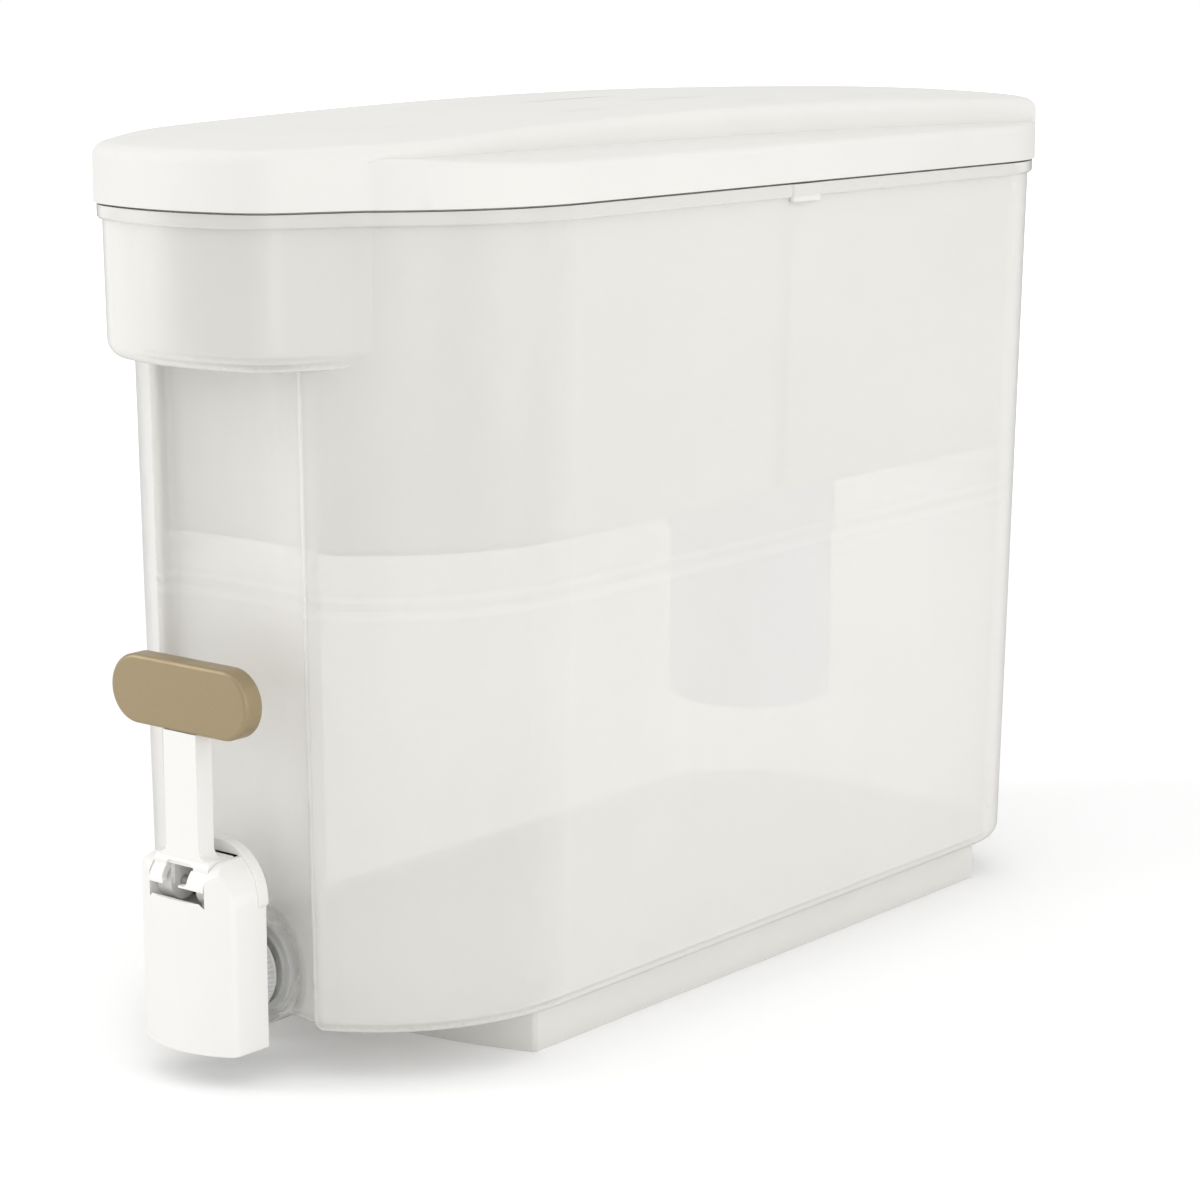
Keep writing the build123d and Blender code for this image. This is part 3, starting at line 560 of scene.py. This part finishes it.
@dataclass(frozen=True)
class SprayedPaint:
    """Matt paint with a fine pearl speckle."""

    name: str
    colour: Colour
    roughness: float = 0.38
    metallic: float = 0.5
    pearl_shades: Range = (0.93, 1.07)
    pearl_scale: float = 5200.0
    gloss_offsets: Range = (-0.04, 0.05)
    grain_scale: float = 2600.0
    grain_strength: float = 0.1
    grain_relief: float = 0.1

    def make(self) -> bpy.types.Material:
        """Build the material."""
        tree, shader, material = blank_material(self.name)
        grain = use_effect(tree, Effect.GRAIN, Scale=self.grain_scale)
        pearl = use_effect(tree, Effect.BEADS, Scale=self.pearl_scale)
        dull, bright = (shade_of(self.colour, shade) for shade in self.pearl_shades)
        feed(
            tree, shader,
            Base_Color=mixed(tree, Blend.COLOUR, pearl.outputs["Cell"], dull, bright),
            Roughness=uneven(tree, grain.outputs["Gloss"], self.roughness, self.gloss_offsets),
            Normal=raised(tree, grain.outputs["Height"], self.grain_strength, self.grain_relief),
            Metallic=self.metallic,
        )
        return material


@dataclass(frozen=True)
class DrawnSteel:
    """Drawn stainless wire and pin stock."""

    name: str
    colour: Colour
    flow_shade: float = 0.85
    roughness_range: Range = (0.2, 0.34)
    grain_scale: float = 3000.0
    flow_scale: float = 80.0

    def make(self) -> bpy.types.Material:
        """Build the material."""
        tree, shader, material = blank_material(self.name)
        grain = use_effect(tree, Effect.GRAIN, Scale=self.grain_scale, Flow_Scale=self.flow_scale)
        shaded = shade_of(self.colour, self.flow_shade)
        feed(
            tree, shader,
            Base_Color=mixed(tree, Blend.COLOUR, grain.outputs["Flow"], shaded, self.colour),
            Roughness=spread(tree, grain.outputs["Gloss"], *self.roughness_range),
            Metallic=1.0,
        )
        return material


@dataclass(frozen=True)
class SoftRubber:
    """Moulded rubber or silicone with a dull, slightly dusty surface."""

    name: str
    colour: Colour
    roughness: float = 0.55
    dust_gain: float = 1.15
    dust_veil: float = 0.01
    gloss_offsets: Range = (-0.06, 0.08)
    grain_scale: float = 1800.0
    grain_strength: float = 0.12
    grain_relief: float = 0.1

    def make(self) -> bpy.types.Material:
        """Build the material."""
        tree, shader, material = blank_material(self.name)
        grain = use_effect(tree, Effect.GRAIN, Scale=self.grain_scale)
        patches = spread(tree, grain.outputs["Gloss"])
        dusty = tuple(min(1.0, channel * self.dust_gain + self.dust_veil) for channel in self.colour)
        feed(
            tree, shader,
            Base_Color=mixed(tree, Blend.COLOUR, patches, self.colour, dusty),
            Roughness=uneven(tree, grain.outputs["Gloss"], self.roughness, self.gloss_offsets),
            Normal=raised(tree, grain.outputs["Height"], self.grain_strength, self.grain_relief),
        )
        return material


@dataclass(frozen=True)
class PackedGrains:
    """Granules or beads packed into a disc."""

    name: str
    dark: Colour
    light: Colour
    scale: float
    roughness: float
    gloss_offsets: Range = (-0.1, 0.1)
    bead_strength: float = 0.7
    bead_relief: float = 0.6

    def make(self) -> bpy.types.Material:
        """Build the material."""
        tree, shader, material = blank_material(self.name)
        beads = use_effect(tree, Effect.BEADS, Scale=self.scale)
        feed(
            tree, shader,
            Base_Color=mixed(tree, Blend.COLOUR, beads.outputs["Cell"], self.dark, self.light),
            Roughness=uneven(tree, beads.outputs["Cell"], self.roughness, self.gloss_offsets),
            Normal=raised(tree, beads.outputs["Height"], self.bead_strength, self.bead_relief),
        )
        return material


@dataclass(frozen=True)
class BondedCloth:
    """Felted filter cloth with crossing fibres."""

    name: str
    colour: Colour
    roughness: float = 0.9
    gap_shade: float = 0.8
    fibre_scale: float = 260.0
    fibre_width: float = 0.09
    felt_scale: float = 1500.0
    felt_strength: float = 0.5
    felt_relief: float = 0.3

    def make(self) -> bpy.types.Material:
        """Build the material."""
        tree, shader, material = blank_material(self.name)
        fibres = use_effect(tree, Effect.SCUFFS, Scale=self.fibre_scale, Width=self.fibre_width)
        felt = use_effect(tree, Effect.GRAIN, Scale=self.felt_scale)
        gap_colour = shade_of(self.colour, self.gap_shade)
        feed(
            tree, shader,
            Base_Color=mixed(tree, Blend.COLOUR, fibres.outputs["Mask"], gap_colour, self.colour),
            Normal=raised(tree, felt.outputs["Height"], self.felt_strength, self.felt_relief),
            Roughness=self.roughness,
        )
        return material


FROST_WHITE = (0.94, 0.925, 0.885)
# The bead round the tank's wall.
WALL_BEAD = Band(height=0.1452, half=0.0045, extra_cover=0.05)
# The thin boss behind the tap, clear enough to see into.
TAP_BOSS = Spot(centre=(0.0, at(34.0), 0.0285), radius=0.0225, colour=(0.80, 0.79, 0.76), cover=0.10)
# The filter cup, dense, with a painted blue tint standing in for the blue cartridge seen through its wall.
FILTER_CUP_PAINTED_SHOW_THROUGH = Spot(centre=(0.0, at(288.2), 0.095), radius=0.076, colour=(0.66, 0.74, 0.99), cover=0.9)


class Finish(Enum):
    """Every finish of the object."""

    # the frosted finishes darken with painted shade where their walls are seen edge on
    TANK = FrostedPlastic("tank_frost", FROST_WHITE, 0.42, painted_edge_shade=0.5, band=WALL_BEAD, spot=TAP_BOSS)
    FOOT = FrostedPlastic("foot_frost", FROST_WHITE, 0.60)
    RESERVOIR = FrostedPlastic("reservoir_frost", FROST_WHITE, 0.58, painted_edge_shade=0.2, spot=FILTER_CUP_PAINTED_SHOW_THROUGH)
    LID = MouldedPlastic("lid_plastic", (0.775, 0.767, 0.738), roughness=0.5, specular=0.3)
    TAP = MouldedPlastic("tap_plastic", (0.85, 0.84, 0.815), roughness=0.34)
    NUT = MouldedPlastic("nut_plastic", (0.70, 0.71, 0.71), roughness=0.3)
    PADDLE = SprayedPaint("champagne_paint", (0.335, 0.262, 0.15))
    STEEL = DrawnSteel("drawn_steel", (0.56, 0.55, 0.53))
    SILICONE = SoftRubber("milky_silicone", (0.72, 0.72, 0.70))
    CARTRIDGE = MouldedPlastic("cartridge_blue", (0.03, 0.09, 0.33), roughness=0.28, coat=0.2)
    RUBBER = SoftRubber("ring_rubber", (0.012, 0.012, 0.012))
    CLOTH = BondedCloth("bonded_cloth", (0.82, 0.82, 0.80))
    CARBON = PackedGrains("carbon_granules", (0.006, 0.006, 0.007), (0.05, 0.05, 0.055), 900.0, 0.5)
    RESIN = PackedGrains("resin_beads", (0.30, 0.15, 0.04), (0.62, 0.38, 0.14), 1300.0, 0.3)

    @property
    def material(self) -> bpy.types.Material:
        """The finish's material, built on first use."""
        return bpy.data.materials.get(self.value.name) or self.value.make()


# ---------------------------------------------------------------- pieces
@dataclass(frozen=True)
class Rounding:
    """How a moulding's sharp edges are softened, in millimetres and degrees."""

    radius: float
    segments: int = 2
    angle: float = 28.0


def copy_of_node(node: str) -> Mesh:
    """Working copy of a CAD node's mesh with its facets joined up.

    Args:
        node: name of the CAD node.

    Returns:
        The mesh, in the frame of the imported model.
    """
    mesh = bmesh.new()
    mesh.from_mesh(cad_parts[node].data)
    bmesh.ops.remove_doubles(mesh, verts=mesh.verts, dist=WELD)
    bmesh.ops.dissolve_degenerate(mesh, dist=WELD, edges=mesh.edges)
    return mesh


def sharp_edges(mesh: Mesh, angle: float) -> list[bmesh.types.BMEdge]:
    """Edges between two faces that meet at more than the angle, in degrees."""
    limit = math.radians(angle)
    return [edge for edge in mesh.edges if len(edge.link_faces) == 2 and edge.calc_face_angle(0.0) > limit]


def soften(mesh: Mesh, rounding: Rounding) -> None:
    """Join flat facets into whole faces and round the sharp edges.

    Args:
        mesh: mesh to change.
        rounding: radius, segments and least angle.
    """
    bmesh.ops.dissolve_limit(
        mesh, angle_limit=math.radians(FLAT_ANGLE), use_dissolve_boundaries=False,
        verts=mesh.verts, edges=mesh.edges, delimit=set(),
    )
    bmesh.ops.bevel(
        mesh, geom=sharp_edges(mesh, rounding.angle), offset=rounding.radius * MM, offset_type="OFFSET",
        affect="EDGES", segments=rounding.segments, profile=0.5, material=-1, clamp_overlap=True,
    )


@dataclass
class Moulding:
    """A piece that keeps its CAD node's form, with its sharp edges softened where it has a rounding."""

    node: str
    body: Body
    slot: Slot
    finish: Finish
    rounding: Rounding | None = None
    shading_weight: int = 60

    def build(self) -> bpy.types.Object:
        """Build the piece, dress it and have it ride on its body."""
        name = f"{self.node}_moulding"
        piece = bpy.data.objects.new(name, self.build_mesh(name))
        bpy.context.scene.collection.objects.link(piece)
        weighted = piece.modifiers.new("even_shading", "WEIGHTED_NORMAL")
        weighted.keep_sharp = True
        weighted.weight = self.shading_weight
        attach(piece, self.body.value)
        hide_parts(self.node)
        log.info("%s: %d faces on %s", name, len(piece.data.polygons), self.body.value)
        return piece

    def build_mesh(self, name: str) -> bpy.types.Mesh:
        """Softened and dressed copy of the node's mesh.

        Args:
            name: name of the mesh.

        Returns:
            The mesh with its finish.
        """
        mesh = copy_of_node(self.node)
        if self.rounding:
            soften(mesh, self.rounding)
        data = bpy.data.meshes.new(name)
        mesh.to_mesh(data)
        mesh.free()
        for polygon in data.polygons:
            polygon.use_smooth = True
        data.set_sharp_from_angle(angle=math.radians(SMOOTH_ANGLE))
        data.materials.append(self.finish.material)
        return data


@dataclass
class Tank:
    """Frosted body of the dispenser and the foot that it stands on."""

    edge: float = 0.4

    def build(self) -> None:
        """Build and dress the tank and its foot."""
        Moulding("tank", Body.TANK, Slot.TANK, Finish.TANK, Rounding(self.edge)).build()
        Moulding("foot_skirt", Body.TANK, Slot.TANK, Finish.FOOT, Rounding(self.edge)).build()


@dataclass
class Reservoir:
    """Lift-out upper tray with its flange and filter cup."""

    edge: float = 0.25

    def build(self) -> None:
        """Build and dress the reservoir."""
        Moulding("reservoir", Body.RESERVOIR, Slot.RESERVOIR, Finish.RESERVOIR, Rounding(self.edge)).build()


@dataclass
class Lid:
    """White lid with a crowned middle and two sunk ledges."""

    edge: float = 0.6

    def build(self) -> None:
        """Build and dress the lid."""
        Moulding("lid", Body.LID, Slot.LID, Finish.LID, Rounding(self.edge)).build()


@dataclass
class Tap:
    """Lever tap: valve body, shroud, lever and the parts of the valve."""

    housing_edge: float = 0.45
    cover_edge: float = 0.4
    lever_edge: float = 0.4
    washer_edge: float = 0.3
    valve_edge: float = 0.2
    stem_edge: float = 0.15
    rib_edge: float = 0.12
    spring_top: float = 0.0435
    spring_keep: float = 0.80

    def build(self) -> None:
        """Build and dress each piece of the tap."""
        self.build_shell()
        self.build_lever()
        self.build_valve()
        self.build_fixing()

    def build_shell(self) -> None:
        """Build the white pieces that stay still, and the ribbed collar behind them."""
        shell_edges = {
            "tap_core": self.valve_edge,
            "tap_housing": self.housing_edge,
            "tap_back_cover": self.cover_edge,
            "stem_bonnet": self.valve_edge,
        }
        for node, edge in shell_edges.items():
            Moulding(node, Body.TANK, Slot.TAP, Finish.TAP, Rounding(edge)).build()
        Moulding("tap_collar", Body.TANK, Slot.NUT, Finish.NUT, Rounding(self.rib_edge)).build()

    def build_lever(self) -> None:
        """Build the lever, its paddle, whose solid is rounded already, and its pin."""
        Moulding("tap_lever", Body.LEVER, Slot.TAP, Finish.TAP, Rounding(self.lever_edge)).build()
        Moulding("lever_paddle", Body.LEVER, Slot.PADDLE, Finish.PADDLE).build()
        Moulding("pivot_pin", Body.TANK, Slot.STEEL, Finish.STEEL).build()

    def build_valve(self) -> None:
        """Build the stem with its seal, and the spring, which the rising stem squeezes from below in the real
        tap but which keeps its shape here.
        """
        spring = Moulding("return_spring", Body.TANK, Slot.STEEL, Finish.STEEL).build()
        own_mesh(spring)
        Moulding("valve_stem", Body.STEM, Slot.TAP, Finish.TAP, Rounding(self.stem_edge)).build()
        Moulding("valve_seal", Body.STEM, Slot.SILICONE, Finish.SILICONE).build()

    def build_fixing(self) -> None:
        """Build the two washers and the nut that hold the tap on the tank's wall."""
        for node in ("outer_washer", "inner_washer"):
            Moulding(node, Body.TANK, Slot.SILICONE, Finish.SILICONE, Rounding(self.washer_edge)).build()
        Moulding("tap_nut", Body.TANK, Slot.NUT, Finish.NUT, Rounding(self.valve_edge)).build()


@dataclass
class Cartridge:
    """Filter cartridge in its cup."""

    edge: float = 0.3

    def build(self) -> None:
        """Build and dress each piece of the cartridge."""
        for node in ("cartridge_body", "cartridge_cap"):
            Moulding(node, Body.CARTRIDGE, Slot.CARTRIDGE, Finish.CARTRIDGE, Rounding(self.edge)).build()
        Moulding("cartridge_o_ring", Body.CARTRIDGE, Slot.RUBBER, Finish.RUBBER).build()
        for node in ("inlet_screen", "outlet_screen"):
            Moulding(node, Body.CARTRIDGE, Slot.CLOTH, Finish.CLOTH).build()
        Moulding("carbon_media", Body.CARTRIDGE, Slot.CARBON, Finish.CARBON).build()
        Moulding("ion_resin", Body.CARTRIDGE, Slot.RESIN, Finish.RESIN).build()


# ---------------------------------------------------------------- studio
def stand(name: str, data: bpy.types.ID, place: Point, ahead: Vector) -> bpy.types.Object:
    """Put a camera or a lamp into the scene.

    Args:
        name: name of the object.
        data: the camera's or the lamp's data.
        place: where it stands.
        ahead: direction that it looks or shines in.

    Returns:
        The object.
    """
    thing = bpy.data.objects.new(name, data)
    thing.location = place
    thing.rotation_euler = ahead.to_track_quat("-Z", "Y").to_euler()
    bpy.context.scene.collection.objects.link(thing)
    return thing


@dataclass(frozen=True)
class Camera:
    """View from the tap's right, a little above the middle.

    The angles are in degrees, and the lens and the sensor in millimetres.
    """

    place: Point = (0.6845, -0.8306, 0.3352)
    azimuth: float = 39.1
    elevation: float = 11.4
    lens: float = 97.62
    sensor: float = 36.0

    def build(self) -> None:
        """Build the camera and make it the scene's."""
        data = bpy.data.cameras.new("camera")
        data.lens = self.lens
        data.sensor_width = self.sensor
        turn = math.radians(self.azimuth)
        tilt = math.radians(self.elevation)
        ahead = Vector((-math.sin(turn) * math.cos(tilt), math.cos(turn) * math.cos(tilt), -math.sin(tilt)))
        bpy.context.scene.camera = stand("camera", data, self.place, ahead)


@dataclass(frozen=True)
class SoftBox:
    """Rectangular white lamp aimed at a point."""

    name: str
    place: Point
    target: Point
    size: tuple[float, float]
    watts: float

    def build(self) -> None:
        """Build the lamp."""
        data = bpy.data.lights.new(self.name, "AREA")
        data.shape = "RECTANGLE"
        data.size, data.size_y = self.size
        data.energy = self.watts
        stand(self.name, data, self.place, Vector(self.target) - Vector(self.place))


@dataclass(frozen=True)
class Studio:
    """White room: a pale floor that keeps the shadow, an even sky and soft boxes."""

    floor_half: float = 6.0
    floor_shades: Range = (0.90, 0.92)
    floor_flow_scale: float = 2.0
    floor_roughness: float = 0.9
    floor_specular: float = 0.1
    lift: Range = (0.12, 0.6)  # what the floor adds of its own, near the object and far from it
    lift_from: float = 0.35
    lift_to: float = 1.6
    sky: float = 0.83  # strength of the sky as a light; the camera sees it at 1
    lamps: tuple[SoftBox, ...] = (
        SoftBox("top_box", (0.0, -0.1, 1.6), (0.0, 0.0, 0.15), (1.6, 1.6), 3.6),
        SoftBox("left_box", (-0.68, -0.72, 0.52), (0.0, -0.1, 0.15), (0.25, 0.9), 2.5),
        SoftBox("fill_box", (1.05, -0.85, 0.4), (0.0, -0.1, 0.15), (0.5, 0.7), 2.5),
        SoftBox("right_box", (0.52, 0.0, 0.34), (0.08, -0.02, 0.14), (0.12, 0.6), 0.45),
    )

    def build(self) -> None:
        """Build the floor, the sky and the lamps."""
        self.build_floor()
        self.build_sky()
        for lamp in self.lamps:
            lamp.build()

    def build_floor(self) -> None:
        """Large plane under the object."""
        mesh = bmesh.new()
        bmesh.ops.create_grid(mesh, x_segments=1, y_segments=1, size=self.floor_half)
        data = bpy.data.meshes.new("floor")
        mesh.to_mesh(data)
        mesh.free()
        data.materials.append(self.make_floor_paint())
        floor = bpy.data.objects.new("floor", data)
        bpy.context.scene.collection.objects.link(floor)

    def make_floor_paint(self) -> bpy.types.Material:
        """Matt pale paint that looks white to the camera, less so near the object, where its shadow lies."""
        tree, shader, material = blank_material("pale_floor")
        grain = use_effect(tree, Effect.GRAIN, Flow_Scale=self.floor_flow_scale)
        dull, bright = ((shade,) * 3 for shade in self.floor_shades)
        away = calculate(tree, "LENGTH", object_place(tree), kind="VectorMath")
        feed(
            tree, shader,
            Base_Color=mixed(tree, Blend.COLOUR, grain.outputs["Flow"], dull, bright),
            Emission_Color=faded(tree, away, self.lift_from, self.lift_to, self.lift),
            Emission_Strength=add_node(tree, "LightPath").outputs["Is Camera Ray"],
            Roughness=self.floor_roughness,
            Specular_IOR_Level=self.floor_specular,
        )
        return material

    def build_sky(self) -> None:
        """Even white world, at full strength only to the camera and through clear pieces."""
        world = bpy.data.worlds.new("sky")
        world.use_nodes = True
        bpy.context.scene.world = world
        tree = world.node_tree
        rays = add_node(tree, "LightPath").outputs
        seen = calculate(tree, "MAXIMUM", rays["Is Camera Ray"], rays["Is Transmission Ray"])
        strength = calculate(tree, "MULTIPLY_ADD", seen, 1.0 - self.sky, self.sky)
        feed(tree, tree.nodes["Background"], Color=(1.0, 1.0, 1.0), Strength=strength)


def main() -> None:
    """Build the camera, the object and the studio in order."""
    logging.basicConfig(level=logging.INFO, format="%(name)s %(message)s")
    bpy.context.scene.view_settings.view_transform = "Standard"
    Camera().build()
    for assembly in (Tank(), Reservoir(), Lid(), Tap(), Cartridge()):
        assembly.build()
    Studio().build()


if __name__ == "__main__":
    main()
